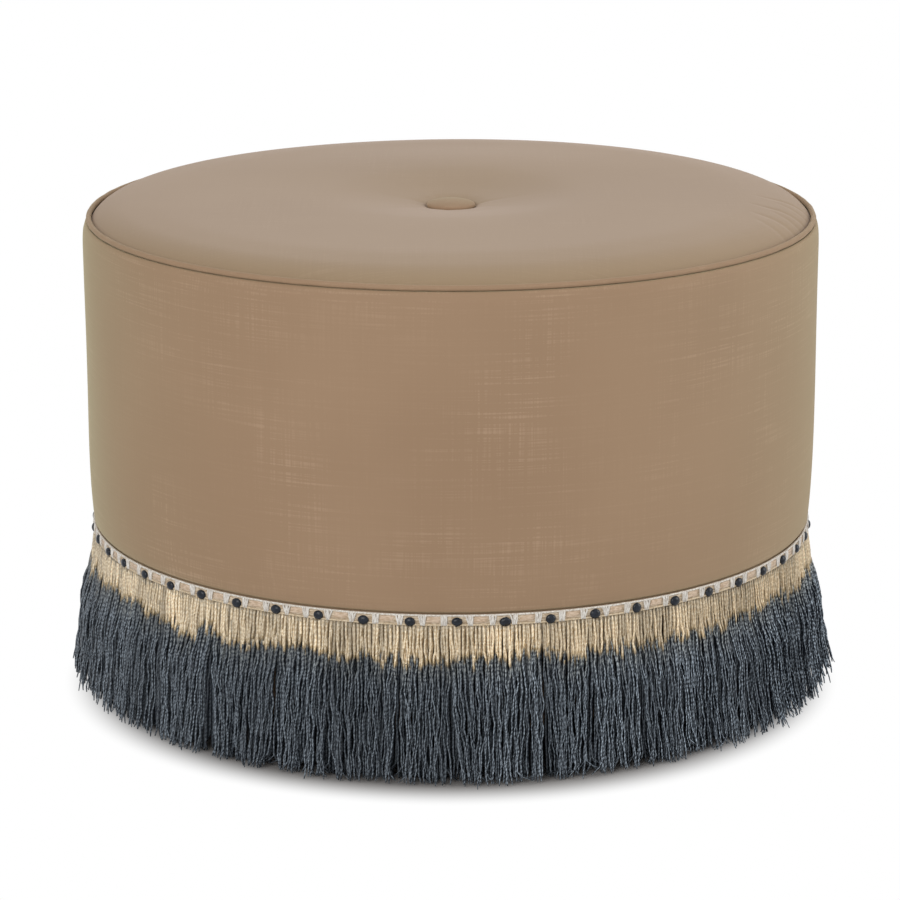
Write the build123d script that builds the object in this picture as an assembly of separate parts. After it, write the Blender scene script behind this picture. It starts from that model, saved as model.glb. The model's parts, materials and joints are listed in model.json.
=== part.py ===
from build123d import *
import os
from math import cos, degrees, exp, pi, radians, sin

# A round upholstered ottoman: a piped, crowned seat with one button, a padded side, and a deep
# fringe under a beaded braid. Sizes are in millimetres. The origin is on the floor under the
# middle, +Z is up and the front faces -Y.

# Side of the body
body_radius = 336.0
seam_height = 426.0
shoulder_drop = 24.0
shoulder_fullness = 0.7
waist_draw = 3.6
waist_reach = 34.0
trim_recess = 3.2
tuck_height = 3.0
skirt_draw = 2.2
hem_round = 5.0
hem_width = 54.0

# Seat
crown_rise = 16.2
crown_fullness = 25.0
tuft_depth = 12.0
tuft_spread = 42.0
tuft_roundness = 1.0
tuft_wall = 3.0
button_sink = 1.4
panel_drop = 1.5
seat_depth = 54.0
batting_thickness = 8.0
batting_squeeze = 0.6

# Cloth and piping
cloth_thickness = 1.2
seam_allowance = 12.0
welt_diameter = 5.0
welt_setback = 5.6

# Covered button and its twine
button_radius = 22.5
button_height = 8.4
button_rim = 2.6
button_cloth = 1.0
button_sheet = 0.7
button_lip = 6.0
button_plate = 1.6
eye_radius = 4.4
eye_wire = 1.8
twine_diameter = 1.8
twine_spread = 3.0
washer_radius = 18.0
washer_thickness = 2.0

# Wooden frame
ply_thickness = 18.0
side_pad_thickness = 16.0
side_board_thickness = 4.0
board_joint = 1.0
base_opening_radius = 150.0
post_count = 6
post_width = 45.0

# Screws into the post ends
screw_head_radius = 4.5
screw_head_height = 4.0
screw_radius = 2.1
screw_length = 55.0
screw_point = 6.0
screw_spacing = 24.0

# Feet, glides and their fixings
foot_count = 4
foot_height = 36.0
foot_top_radius = 30.0
foot_bottom_radius = 24.0
foot_edge = 2.0
foot_margin = 8.0
glide_radius = 14.0
glide_thickness = 5.0
glide_round = 1.5
nail_radius = 1.3
nail_head_radius = 3.4
nail_head_thickness = 1.2
nail_recess = 2.4
nail_bite = 14.0
bolt_radius = 4.0
bolt_bite = 18.0
bolt_end = 4.0
nut_barrel_radius = 5.2
nut_barrel_depth = 12.0
nut_flange_radius = 11.0
nut_flange_thickness = 1.6

# Dust cover and staples
dust_thickness = 0.8
dust_lap = 34.0
dust_step = 4.0
staple_count = 32
staple_width = 10.0
staple_wire = 0.8
staple_leg = 8.0
dust_staple_lap = 12.0
cover_staple_lap = 27.0

# Braid, beads and fringe
braid_top = 146.5
braid_height = 10.0
tape_thickness = 1.0
rail_diameter = 1.6
bar_width = 6.0
bar_offset = 8.0
bar_relief = 0.7
bead_count = 52
bead_turn = 0.9
bead_radius = 4.6
bead_dome = 3.2
bead_drop = 1.0
heading_thickness = 1.6
heading_drop = 8.0
fringe_lengths = 12
clumps_per_length = 5
strands_per_clump = 8
strand_width = 3.0
strand_depth = 2.4
strand_taper = 0.7
knee_height = 72.0
knee_flare = 13.5
tip_height = 4.0
tip_flare = 20.0
tip_scatter = 2.0
clump_pull = 0.12

# Clearances
fit = 0.3
sewn_gap = 0.1
screw_gap = 0.15

# Heights and radii that follow from the sizes above
base_bottom = glide_thickness + foot_height + dust_thickness
base_top = base_bottom + ply_thickness
hem_bottom = base_bottom - cloth_thickness
deck_top = seam_height - seat_depth
deck_bottom = deck_top - ply_thickness
board_outer_radius = body_radius - cloth_thickness - fit - side_pad_thickness - fit
frame_radius = board_outer_radius - side_board_thickness - fit
flange_bottom = seam_height - seam_allowance
welt_radius = welt_diameter / 2
welt_ring_radius = body_radius - welt_setback
welt_height = seam_height + welt_radius + fit
panel_radius = welt_ring_radius - welt_radius - fit
panel_edge_height = welt_height - panel_drop
panel_flange_radius = welt_ring_radius - cloth_thickness - sewn_gap
side_flange_radius = welt_ring_radius + cloth_thickness + sewn_gap
tuft_radius = button_radius + fit
tuft_rim_radius = tuft_radius + tuft_wall
tuft_floor = panel_edge_height + crown_rise - tuft_depth - button_sink
waist_radius = body_radius - waist_draw
trim_radius = waist_radius - trim_recess
skirt_radius = trim_radius - skirt_draw
hem_inner_radius = skirt_radius - hem_width
braid_bottom = braid_top - braid_height
twine_hole_radius = eye_radius + eye_wire / 2 + fit
post_ring_radius = hem_inner_radius - fit - dust_step - screw_head_radius
foot_ring_radius = hem_inner_radius - fit - dust_step - foot_margin - foot_top_radius
heading_outer_radius = trim_radius + fit + heading_thickness
tape_outer_radius = heading_outer_radius + sewn_gap + tape_thickness


def turned(*outline):
    """A solid turned about the Z axis from an outline of (radius, height)."""
    return revolve(Plane.XZ * make_face(outline), Axis.Z)


def ring(inner, outer, bottom, top):
    """A flat-ended ring, or a disc where the inner radius is 0."""
    corners = [(inner, bottom), (outer, bottom), (outer, top), (inner, top)]
    return turned(Polyline(*corners, close=True))


def around(count, radius, start=0.0):
    """Evenly spaced places on a circle, each with its own X axis pointing outwards."""
    turns = [start + 360.0 * index / count for index in range(count)]
    return [Rot(0, 0, turn) * Pos(radius, 0, 0) for turn in turns]


def group(shapes):
    """Separate solids kept together under one name."""
    return Compound([solid for shape in shapes for solid in shape.solids()])


# Seat


def crown(radius):
    """Height of the seat's outer face: a flat-topped dome drawn down round the button."""
    dome = panel_edge_height + crown_rise * (1 - (radius / panel_radius) ** crown_fullness)
    pull = tuft_depth * exp(-(((radius - tuft_rim_radius) / tuft_spread) ** tuft_roundness))
    return dome - pull


def batting_depth(radius):
    """Thickness of the wadding, which the button squeezes."""
    squeeze = batting_squeeze * exp(-(radius - tuft_radius) / tuft_spread)
    return batting_thickness * (1 - squeeze)


def crown_lines(outer_radius, depth):
    """The tuft's wall and the crown's curve from it to a radius, sunk by a depth that can vary."""
    steps = 18
    shares = [(1 - cos(pi * step / steps)) / 2 for step in range(steps + 1)]
    radii = [tuft_rim_radius + (outer_radius - tuft_rim_radius) * share for share in shares]
    curve = Spline(*[(radius, crown(radius) - depth(radius)) for radius in radii])
    return Line((tuft_radius, tuft_floor - depth(tuft_radius)), curve @ 0), curve


def cloth_depth(radius):
    return cloth_thickness


def below_cloth(radius):
    return cloth_thickness + fit


def below_batting(radius):
    return below_cloth(radius) + batting_depth(radius) + fit


def make_top_cover():
    """Top panel with its tuft hole and the seam allowance that turns down inside."""
    wall, outer = crown_lines(panel_radius, lambda radius: 0.0)
    inner_wall, inner = crown_lines(panel_radius - cloth_thickness, cloth_depth)
    tuft = Polyline(inner_wall @ 0, (twine_hole_radius, (inner_wall @ 0).Y), (twine_hole_radius, tuft_floor), wall @ 0)
    flange = Polyline(
        outer @ 1,
        (panel_flange_radius, seam_height - fit),
        (panel_flange_radius, flange_bottom),
        (panel_flange_radius - cloth_thickness, flange_bottom),
        (panel_flange_radius - cloth_thickness, seam_height - cloth_thickness),
        inner @ 1,
    )
    return turned(wall, outer, flange, inner, inner_wall, tuft)


def make_top_batting():
    """Wadding over the foam, turned down over its edge."""
    skirt_outer = panel_radius - cloth_thickness - fit
    skirt_inner = board_outer_radius + fit
    wall, outer = crown_lines(skirt_outer, below_cloth)
    inner_wall, inner = crown_lines(skirt_inner, lambda radius: below_cloth(radius) + batting_depth(radius))
    hole = Polyline(
        inner_wall @ 0,
        (twine_hole_radius, (inner_wall @ 0).Y),
        (twine_hole_radius, (wall @ 0).Y),
        wall @ 0,
    )
    skirt = Polyline(outer @ 1, (skirt_outer, flange_bottom), (skirt_inner, flange_bottom), inner @ 1)
    return turned(wall, outer, skirt, inner, inner_wall, hole)


def make_seat_foam():
    """Crowned foam on the deck, bored for the twine."""
    wall, top = crown_lines(board_outer_radius, below_batting)
    sides = Polyline(
        top @ 1,
        (board_outer_radius, deck_top),
        (twine_hole_radius, deck_top),
        (twine_hole_radius, (wall @ 0).Y),
        wall @ 0,
    )
    return turned(wall, top, sides)


# Side and piping


def side_outline(inset):
    """The side's curve from the seam to the hem, sunk by an inset: shoulder, waist, skirt, hem."""
    seam = Vector(side_flange_radius + inset, seam_height - inset)
    shoulder = Vector(body_radius - inset, seam_height - shoulder_drop)
    reach = shoulder_fullness * shoulder_drop
    spread = shoulder_fullness * (shoulder.X - seam.X)
    swell = Bezier(seam, seam + (spread, 0), shoulder + (0, reach), shoulder)
    steps = 8
    foot = braid_top + tuck_height
    fall = shoulder.Y - foot
    heights = [foot + fall * (1 - step / steps) ** 2 for step in range(steps + 1)]
    pulls = [waist_draw * exp(-(height - foot) / waist_reach) for height in heights]
    points = [(shoulder.X - pull, height) for pull, height in zip(pulls, heights)]
    waist = Spline(shoulder, *points[1:])
    tuck = Bezier(
        waist @ 1,
        waist @ 1 + Vector(0, -tuck_height / 2),
        (trim_radius - inset, foot - tuck_height / 2),
        (trim_radius - inset, braid_top),
    )
    corner = (skirt_radius - hem_round, hem_bottom + hem_round)
    turn = CenterArc(corner, hem_round - inset, 0, -90)
    skirt = Line(tuck @ 1, turn @ 0)
    hem = Line(turn @ 1, (hem_inner_radius, hem_bottom + inset))
    return swell, waist, tuck, skirt, turn, hem


def make_side_cover(staples):
    """Side cloth: seam allowance, padded band, and the hem stapled under the base."""
    outer = side_outline(0.0)
    inner = side_outline(cloth_thickness)
    flange = Polyline(
        outer[0] @ 0,
        (side_flange_radius, flange_bottom),
        (side_flange_radius + cloth_thickness, flange_bottom),
        inner[0] @ 0,
    )
    ends = Line(outer[-1] @ 1, inner[-1] @ 1)
    return turned(*outer, *inner, flange, ends) - staples


def make_side_padding():
    """Wadding between the board and the side cloth, up to the seam allowances."""
    outline = side_outline(cloth_thickness + fit)
    inner_radius = board_outer_radius + fit
    bottom = outline[-1].position_at(0)
    closing = Polyline(
        outline[0] @ 0,
        (inner_radius, (outline[0] @ 0).Y),
        (inner_radius, bottom.Y),
        bottom,
    )
    whole = turned(*outline[:-1], closing)
    return whole - ring(0, body_radius, flange_bottom - fit, seam_height)


def make_welt_cover():
    """Jacket of the piping with the double flange that is caught in the seam."""
    wall = cloth_thickness
    flange_top = welt_height - welt_radius + wall / 2
    flange_length = flange_top - flange_bottom
    tube = Pos(welt_ring_radius, welt_height) * Circle(welt_radius)
    bore = Pos(welt_ring_radius, welt_height) * Circle(welt_radius - wall)
    flange = Pos(welt_ring_radius, flange_bottom + flange_length / 2) * Rectangle(2 * wall, flange_length)
    return revolve(Plane.XZ * (tube + flange - bore), Axis.Z)


def make_welt_core():
    core_radius = welt_radius - cloth_thickness - sewn_gap
    return Pos(0, 0, welt_height) * Torus(welt_ring_radius, core_radius)


# Button and twine

button_bottom = tuft_floor + fit
eye_height = button_bottom - eye_radius
twine_top = eye_height + eye_wire / 2 + twine_diameter / 2 + sewn_gap - twine_spread
washer_top = deck_bottom - fit
washer_bottom = washer_top - washer_thickness


def button_outline(inset):
    """A domed lens with a rounded rim, shrunk by an inset."""
    rim_centre = Vector(button_radius - button_rim, button_bottom + button_rim)
    rim = CenterArc(rim_centre, button_rim - inset, -90, 140)
    crest = Vector(0, button_bottom + button_height - inset)
    lead = rim @ 1 + (rim % 1) * button_rim
    dome = Bezier(rim @ 1, lead, crest + (button_radius / 2, 0), crest)
    floor = Line((0, button_bottom + inset), rim @ 0)
    return make_face([floor, rim, dome, Line(crest, floor @ 0)])


def button_skin(outer_inset, inner_inset, opening):
    """A skin between two button outlines, open underneath."""
    mouth = Rectangle(2 * opening, 2 * button_rim)
    skin = button_outline(outer_inset) - button_outline(inner_inset)
    return revolve(Plane.XZ * (skin - Pos(0, button_bottom) * mouth), Axis.Z)


def make_button_cover():
    return button_skin(0.0, button_cloth, button_radius - button_lip)


def make_button_shell():
    outer = button_cloth + sewn_gap
    return button_skin(outer, outer + button_sheet, button_radius - button_lip + button_cloth)


def make_button_back():
    """Plate in the button's mouth with a wire eye below it."""
    plate_radius = button_radius - button_lip - fit
    plate = ring(0, plate_radius, button_bottom, button_bottom + button_plate)
    loop = Pos(0, 0, button_bottom) * Rot(0, 90, 0) * Torus(eye_radius, eye_wire / 2)
    below = ring(0, plate_radius, eye_height - eye_wire, button_bottom + button_plate / 2)
    return plate + (loop & below)


def make_button_twine():
    """A tight loop through the button's eye and round the washer under the deck."""
    radius = twine_diameter / 2
    low = washer_bottom - sewn_gap
    bend = Rot(90, 0, 0) * Torus(twine_spread, radius)
    reach = twine_spread + twine_diameter
    half = ring(0, reach, 0, reach)
    upper = bend & half
    lower = bend & (Pos(0, 0, -reach) * half)
    leg = ring(0, radius, low, twine_top)
    legs = Pos(twine_spread, 0, 0) * leg + Pos(-twine_spread, 0, 0) * leg
    return legs + Pos(0, 0, twine_top) * upper + Pos(0, 0, low) * lower


def make_twine_washer():
    eyelet = ring(0, twine_diameter / 2 + sewn_gap, washer_bottom, washer_top)
    holes = [Pos(side * twine_spread, 0, 0) * eyelet for side in (-1, 1)]
    return ring(0, washer_radius, washer_bottom, washer_top) - holes


# Wooden frame


def screw(gap=0.0):
    """A countersunk wood screw, head up at height 0; a gap makes its hole."""
    return turned(
        Polyline(
            (0, 0),
            (screw_head_radius + gap, 0),
            (screw_radius + gap, -screw_head_height),
            (screw_radius + gap, screw_point - screw_length),
            (0, -screw_length - gap),
            close=True,
        )
    )


def post_places():
    return around(post_count, post_ring_radius)


def screw_group(head_height, flip, gap=0.0):
    """Two screws for each post, pointing down from the deck or up from the base."""
    offsets = [Pos(0, side * screw_spacing / 2, 0) for side in (-1, 1)]
    tool = Pos(0, 0, head_height) * Rot(180 if flip else 0, 0, 0) * screw(gap)
    return [place * offset * tool for place in post_places() for offset in offsets]


def make_posts(screw_holes):
    """Square posts between base and deck, bored for the screws."""
    height = deck_bottom - base_top
    block = Pos(0, 0, base_top + height / 2) * Box(post_width, post_width, height)
    return [place * block - screw_holes for place in post_places()]


def make_top_deck(screw_holes):
    return ring(twine_hole_radius, frame_radius, deck_bottom, deck_top) - screw_holes


def make_base_ring(screw_holes, nut_holes, staples):
    """Base board with a hand hole in the middle, through which the button is tied."""
    board = ring(base_opening_radius, frame_radius, base_bottom, base_top)
    return board - screw_holes - nut_holes - staples


def make_side_board():
    """Bent board hoop round the deck and the base, with its joint at the back."""
    inner_radius = frame_radius + fit
    hoop = ring(inner_radius, inner_radius + side_board_thickness, base_bottom, deck_top)
    middle = Pos(0, inner_radius + side_board_thickness / 2, (base_bottom + deck_top) / 2)
    return hoop - middle * Box(board_joint, 2 * side_board_thickness, deck_top)


# Feet


def foot_places():
    return around(foot_count, foot_ring_radius, 180.0 / foot_count)


def make_glide():
    """Nylon glide, recessed for its nail."""
    hole = nail_radius + screw_gap
    recess = nail_head_radius + fit
    corner = (glide_radius - glide_round, glide_round)
    edge = CenterArc(corner, glide_round, -90, 90)
    body = Polyline(
        edge @ 1,
        (glide_radius, glide_thickness),
        (hole, glide_thickness),
        (hole, nail_recess),
        (recess, nail_recess),
        (recess, 0),
        edge @ 0,
    )
    return turned(edge, body)


def nail(gap=0.0):
    """A flat-headed nail through the glide; a gap makes its hole."""
    tip = glide_thickness + nail_bite
    return turned(
        Polyline(
            (0, nail_recess - nail_head_thickness),
            (nail_head_radius, nail_recess - nail_head_thickness),
            (nail_head_radius, nail_recess),
            (nail_radius + gap, nail_recess),
            (nail_radius + gap, tip - 2 * nail_radius),
            (0, tip + gap),
            close=True,
        )
    )


def foot_bolt(gap=0.0):
    """A bolt that stands in the foot and passes the dust cover, base and nut; a gap makes its hole."""
    bottom = glide_thickness + foot_height - bolt_bite - gap
    top = base_top + nut_flange_thickness + bolt_end
    return ring(0, bolt_radius + gap, bottom, top)


def make_foot():
    """Turned tapered foot with rounded edges."""
    bottom, top = glide_thickness, glide_thickness + foot_height
    profile = [(0, bottom), (foot_bottom_radius, bottom), (foot_top_radius, top), (0, top)]
    body = turned(Polyline(*profile, close=True))
    body = fillet(body.edges().filter_by(GeomType.CIRCLE), foot_edge)
    return body - nail(screw_gap) - foot_bolt(screw_gap)


def make_tee_nut():
    """Flange on the base board and a barrel sunk into it."""
    barrel = ring(0, nut_barrel_radius, base_top - nut_barrel_depth, base_top)
    flange = ring(0, nut_flange_radius, base_top, base_top + nut_flange_thickness)
    return barrel + flange - foot_bolt(screw_gap)


def make_nut_hole():
    barrel = ring(0, nut_barrel_radius + screw_gap, base_top - nut_barrel_depth - screw_gap, base_top)
    return barrel + foot_bolt(screw_gap)


# Dust cover and staples


def staple_group(lap, crown_bottom, start, gap=0.0):
    """Staples driven up into the base, with crowns along the circle; a gap makes their slots."""
    wire = staple_wire + 2 * gap
    height = base_bottom + staple_leg + gap - crown_bottom
    crown_bar = Pos(0, 0, crown_bottom + staple_wire / 2) * Box(wire, staple_width + 2 * gap, wire)
    leg = Pos(0, 0, crown_bottom + height / 2) * Box(wire, wire, height)
    shift = staple_width / 2 - staple_wire / 2
    body = crown_bar + Pos(0, shift, 0) * leg + Pos(0, -shift, 0) * leg
    return [place * body for place in around(staple_count, hem_inner_radius + lap, start)]


def make_dust_cover(staples):
    """Thin cloth under the base that steps down over the turned-in hem."""
    step_outer = hem_inner_radius - fit
    step_inner = step_outer - dust_step
    top = [(0, base_bottom), (step_inner, base_bottom), (step_outer, hem_bottom)]
    edge = hem_inner_radius + dust_lap
    bottom = [(radius, height - dust_thickness) for radius, height in reversed(top)]
    outline = [*top, (edge, hem_bottom), (edge, hem_bottom - dust_thickness), *bottom]
    holes = [place * foot_bolt(screw_gap) for place in foot_places()]
    return turned(Polyline(*outline, close=True)) - holes - staples


# Braid, beads and fringe


def bead_angles():
    return [bead_turn - 90 + 360.0 * index / bead_count for index in range(bead_count)]


def make_gimp_braid():
    """Ladder braid: a tape with a cord along each edge and two bars beside each bead."""
    inner_radius = heading_outer_radius + sewn_gap
    rail = Torus(tape_outer_radius, rail_diameter / 2)
    rails = [Pos(0, 0, height) * rail for height in
             (braid_top - rail_diameter / 2, braid_bottom + rail_diameter / 2)]
    depth = tape_thickness / 2 + bar_relief
    height = braid_height - 2 * (rail_diameter + sewn_gap)
    bar = Box(depth, bar_width, height, align=(Align.MIN, Align.CENTER, Align.CENTER))
    root = Pos(tape_outer_radius - tape_thickness / 2, 0, (braid_top + braid_bottom) / 2)
    bars = [Rot(0, 0, angle) * root * Pos(0, side * bar_offset, 0) * bar
            for angle in bead_angles() for side in (-1, 1)]
    return ring(inner_radius, tape_outer_radius, braid_bottom, braid_top) + [*rails, *bars]


def make_beads():
    """Domed beads sewn on the braid, flat behind."""
    ball = (bead_radius**2 + bead_dome**2) / (2 * bead_dome)
    dome = RadiusArc((0, bead_dome), (bead_radius, 0), ball)
    bead = turned(Line((0, 0), (0, bead_dome)), dome, Line((bead_radius, 0), (0, 0)))
    back = tape_outer_radius + rail_diameter / 2 + fit
    seat = Pos(back, 0, (braid_top + braid_bottom) / 2 - bead_drop) * Rot(0, 90, 0)
    return [Rot(0, 0, angle) * seat * bead for angle in bead_angles()]


def strand(turn, clump_turn):
    """One four-sided strand that leans out to a knee, then hangs to its tip, drawn to its clump."""
    spread = tip_scatter * sin(92 * radians(turn))
    lift = tip_scatter * (1 + sin(124 * radians(turn)))
    top_height = braid_bottom - fit
    inner_radius = heading_outer_radius - heading_thickness / 2
    rows = [
        (inner_radius, top_height, strand_depth),
        (inner_radius + knee_flare, knee_height, strand_depth),
        (inner_radius + tip_flare + spread, tip_height + lift, strand_depth * strand_taper),
    ]
    inside = [(radius, height) for radius, height, depth in rows]
    outside = [(radius + depth, height) for radius, height, depth in reversed(rows)]
    side_view = Plane.XZ * make_face(Polyline(*inside, *outside, close=True))
    drawn = clump_pull * radians(clump_turn - turn) * inner_radius
    lean = degrees(drawn / (top_height - tip_height))
    hang = Pos(0, 0, top_height) * Rot(lean, 0, 0) * Pos(0, 0, -top_height)
    return Rot(0, 0, turn) * hang * extrude(side_view, strand_width / 2, both=True)


def make_fringe_length():
    """One length of heading tape, fused with the strands that hang from it in clumps."""
    turn = 360.0 / fringe_lengths
    clump_turn = turn / clumps_per_length
    pitch = clump_turn / strands_per_clump
    bottom, top = braid_bottom - heading_drop, braid_top - rail_diameter
    middle = Pos(heading_outer_radius - heading_thickness / 2, (bottom + top) / 2)
    section = Plane.XZ * middle * Rectangle(heading_thickness, top - bottom)
    tape = revolve(section, Axis.Z, turn - degrees(sewn_gap / heading_outer_radius))
    strands = [
        strand(clump * clump_turn + (index + 0.5) * pitch, (clump + 0.5) * clump_turn)
        for clump in range(clumps_per_length)
        for index in range(strands_per_clump)
    ]
    return tape + strands


# Build every piece and write it

deck_holes = screw_group(deck_top, False, screw_gap)
base_holes = screw_group(base_bottom, True, screw_gap)
half_step = 180.0 / staple_count
cover_slots = staple_group(cover_staple_lap, hem_bottom, half_step, sewn_gap)
dust_slots = staple_group(dust_staple_lap, hem_bottom - dust_thickness - staple_wire, 0.0, sewn_gap)
nut_holes = [place * make_nut_hole() for place in foot_places()]
fringe_length = make_fringe_length()

pieces = {
    "top_cover": make_top_cover(),
    "top_batting": make_top_batting(),
    "seat_foam": make_seat_foam(),
    "side_cover": make_side_cover(cover_slots + dust_slots),
    "side_padding": make_side_padding(),
    "welt_cover": make_welt_cover(),
    "welt_core": make_welt_core(),
    "button_cover": make_button_cover(),
    "button_shell": make_button_shell(),
    "button_back": make_button_back(),
    "button_twine": make_button_twine(),
    "twine_washer": make_twine_washer(),
    "top_deck": make_top_deck(deck_holes),
    "base_ring": make_base_ring(base_holes, nut_holes, cover_slots + dust_slots),
    "side_board": make_side_board(),
    "deck_screws": group(screw_group(deck_top, False)),
    "base_screws": group(screw_group(base_bottom, True)),
    "dust_cover": make_dust_cover(dust_slots),
    "cover_staples": group(staple_group(cover_staple_lap, hem_bottom, half_step)),
    "dust_staples": group(staple_group(dust_staple_lap, hem_bottom - dust_thickness - staple_wire, 0.0)),
    "foot_bolts": group(place * foot_bolt() for place in foot_places()),
    "tee_nuts": group(place * make_tee_nut() for place in foot_places()),
    "glide_nails": group(place * nail() for place in foot_places()),
    "gimp_braid": make_gimp_braid(),
    "beads": group(make_beads()),
    "fringe": group(place * fringe_length for place in around(fringe_lengths, 0.0)),
}
for number, post in enumerate(make_posts(deck_holes + base_holes), 1):
    pieces[f"post_{number}"] = post
for number, place in enumerate(foot_places(), 1):
    pieces[f"foot_{number}"] = place * make_foot()
    pieces[f"glide_{number}"] = place * make_glide()

os.makedirs("parts", exist_ok=True)
for name, shape in pieces.items():
    export_step(shape, f"parts/{name}.step")
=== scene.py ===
# %% [markdown]
# # A round ottoman with a dip-dyed fringe
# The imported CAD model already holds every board, screw and foot of this ottoman at the part's size, so
# this lesson only makes what cloth and yarn ask for: a tight cover, piping, a covered button, a beaded
# braid, a deep fringe and a dust cover. Each new piece is made in the CAD model's own frame, in metres,
# and takes the place of the plain solid that stood for it. The other pieces only get their finishes.

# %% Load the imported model
import json
import math

import bmesh
import bpy
import numpy as np
from mathutils import Matrix, Vector
from mathutils.geometry import interpolate_bezier


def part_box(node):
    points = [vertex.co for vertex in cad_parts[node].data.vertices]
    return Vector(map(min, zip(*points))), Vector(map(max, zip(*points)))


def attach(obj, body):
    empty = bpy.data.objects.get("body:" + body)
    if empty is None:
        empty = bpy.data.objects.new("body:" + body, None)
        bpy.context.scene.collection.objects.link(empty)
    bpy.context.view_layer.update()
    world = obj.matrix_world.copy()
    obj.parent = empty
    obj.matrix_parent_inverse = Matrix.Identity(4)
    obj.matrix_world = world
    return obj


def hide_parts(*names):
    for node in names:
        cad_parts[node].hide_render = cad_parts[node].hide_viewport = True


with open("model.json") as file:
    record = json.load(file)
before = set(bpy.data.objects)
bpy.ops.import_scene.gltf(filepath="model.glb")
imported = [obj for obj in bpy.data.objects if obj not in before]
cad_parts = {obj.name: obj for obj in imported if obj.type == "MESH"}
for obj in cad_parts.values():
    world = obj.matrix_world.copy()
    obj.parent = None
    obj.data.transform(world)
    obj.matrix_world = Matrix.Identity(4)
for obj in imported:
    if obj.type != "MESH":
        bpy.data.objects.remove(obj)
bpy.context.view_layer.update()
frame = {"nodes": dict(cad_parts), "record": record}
scene = bpy.context.scene
MM = 0.001

# %% [markdown]
# ## The camera
# The ellipses of the piping and the braid give the height of the camera: it looks down by fifteen
# degrees from a little over three metres away. A long lens keeps the far rim nearly as wide as the
# near one, which is what the picture shows.

# %% Place the camera
AIM = Vector((-0.9 * MM, 0, 201.9 * MM))
CAMERA_DISTANCE = 3.30
CAMERA_RISE = math.radians(15.0)
FOCAL_LENGTH = 141.5
SENSOR_WIDTH = 36.0


def faces_aim(holder):
    """Turns a camera or a lamp to the middle of the ottoman and puts it in the scene."""
    holder.rotation_euler = (AIM - holder.location).to_track_quat("-Z", "Y").to_euler()
    scene.collection.objects.link(holder)
    return holder


lens = bpy.data.cameras.new("photo_camera")
lens.lens, lens.sensor_width = FOCAL_LENGTH, SENSOR_WIDTH
camera = bpy.data.objects.new("photo_camera", lens)
camera.location = AIM + CAMERA_DISTANCE * Vector((0, -math.cos(CAMERA_RISE), math.sin(CAMERA_RISE)))
scene.camera = faces_aim(camera)
print("camera at", [round(x, 3) for x in camera.location])

# %% [markdown]
# ## Helpers for shader nodes
# A finish is a small graph of nodes. It could be drawn by hand in the shader editor; in a script a few
# helpers keep each graph readable. One adds a node and plugs its inputs, and the others do arithmetic,
# mix two colours, stretch a range, draw noise, tilt the normal and start a material.

# %% Node helpers


def add(tree, kind, inputs=None, **settings):
    """Adds a shader node; an input takes a number, a colour or another node's socket."""
    node = tree.nodes.new("ShaderNode" + kind)
    for setting, value in settings.items():
        setattr(node, setting, value)
    for socket, value in (inputs or {}).items():
        if isinstance(value, bpy.types.NodeSocket):
            tree.links.new(value, node.inputs[socket])
        else:
            node.inputs[socket].default_value = value
    return node


def worked(tree, operation, *values):
    """One step of arithmetic on numbers or sockets."""
    return add(tree, "Math", dict(enumerate(values)), operation=operation).outputs[0]


def blended(tree, share, first, second):
    """Two colours mixed by a share from 0 to 1."""
    return add(tree, "Mix", {0: share, 6: first, 7: second}, data_type="RGBA").outputs[2]


def spread(tree, value, low, high, new_low=0.0, new_high=1.0):
    """A value moved smoothly from one range to another, and held at its ends."""
    ends = {"From Min": low, "From Max": high, "To Min": new_low, "To Max": new_high, "Value": value}
    return add(tree, "MapRange", ends, interpolation_type="SMOOTHSTEP").outputs[0]


def grain(tree, place, scale, detail=2.0, roughness=0.5):
    """Noise whose features are as long as one over the scale, in metres, along each axis."""
    stretched = add(tree, "Mapping", {"Vector": place, "Scale": scale}).outputs[0]
    sockets = {"Vector": stretched, "Scale": 1.0, "Detail": detail, "Roughness": roughness}
    return add(tree, "TexNoise", sockets).outputs[0]


def bumped(tree, shader, height, strength, depth):
    """Lets a height pattern tilt the shader's normal."""
    sockets = {"Height": height, "Strength": strength, "Distance": depth}
    tree.links.new(add(tree, "Bump", sockets).outputs[0], shader.inputs["Normal"])


def new_finish(name, roughness, **constants):
    """A material with its constant values set on the shader's own sockets."""
    material = bpy.data.materials.new(name)
    material.use_nodes = True
    tree = material.node_tree
    shader = tree.nodes["Principled BSDF"]
    shader.inputs["Roughness"].default_value = roughness
    for socket, value in constants.items():
        shader.inputs[socket.replace("_", " ")].default_value = value
    return material, tree, shader, add(tree, "TexCoord").outputs["Object"]


print("node helpers ready")

# %% [markdown]
# ## Stage and light
# The picture is a cut-out on white with a soft shadow at the hem. Large softboxes and an even world
# give the flat light of a product picture. Far from the ottoman the floor answers the camera with plain
# white. Close to the hem it answers with a darker paper that only the lamps light: the lamps' real shadow
# stays there, and the darker paper adds painted shadow to it. The change runs over a round patch that lies a
# little towards the camera, because the shadow does too.

# %% Lamps and world
WHITE = (1.0, 1.0, 1.0, 1.0)
WORLD_LIGHT = 0.44

scene.view_settings.view_transform = "Standard"


def softbox(name, place, size, watts):
    """A square lamp that faces the ottoman."""
    lamp = bpy.data.lights.new(name, "AREA")
    lamp.shape, lamp.size, lamp.energy = "SQUARE", size, watts
    holder = bpy.data.objects.new(name, lamp)
    holder.location = place
    return faces_aim(holder)


def seen_by_camera(tree):
    """1 for rays of the camera, of reflections and through glass, 0 for light."""
    path = add(tree, "LightPath").outputs
    direct = worked(tree, "MAXIMUM", path["Is Camera Ray"], path["Is Glossy Ray"])
    return worked(tree, "MAXIMUM", direct, path["Is Transmission Ray"])


softbox("key_light", (-1.5, -3.2, 1.9), 2.4, 68)
softbox("fill_light", (3.6, -0.4, 1.5), 2.4, 55)
softbox("top_light", (0.0, 1.4, 2.8), 2.6, 13)

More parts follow.
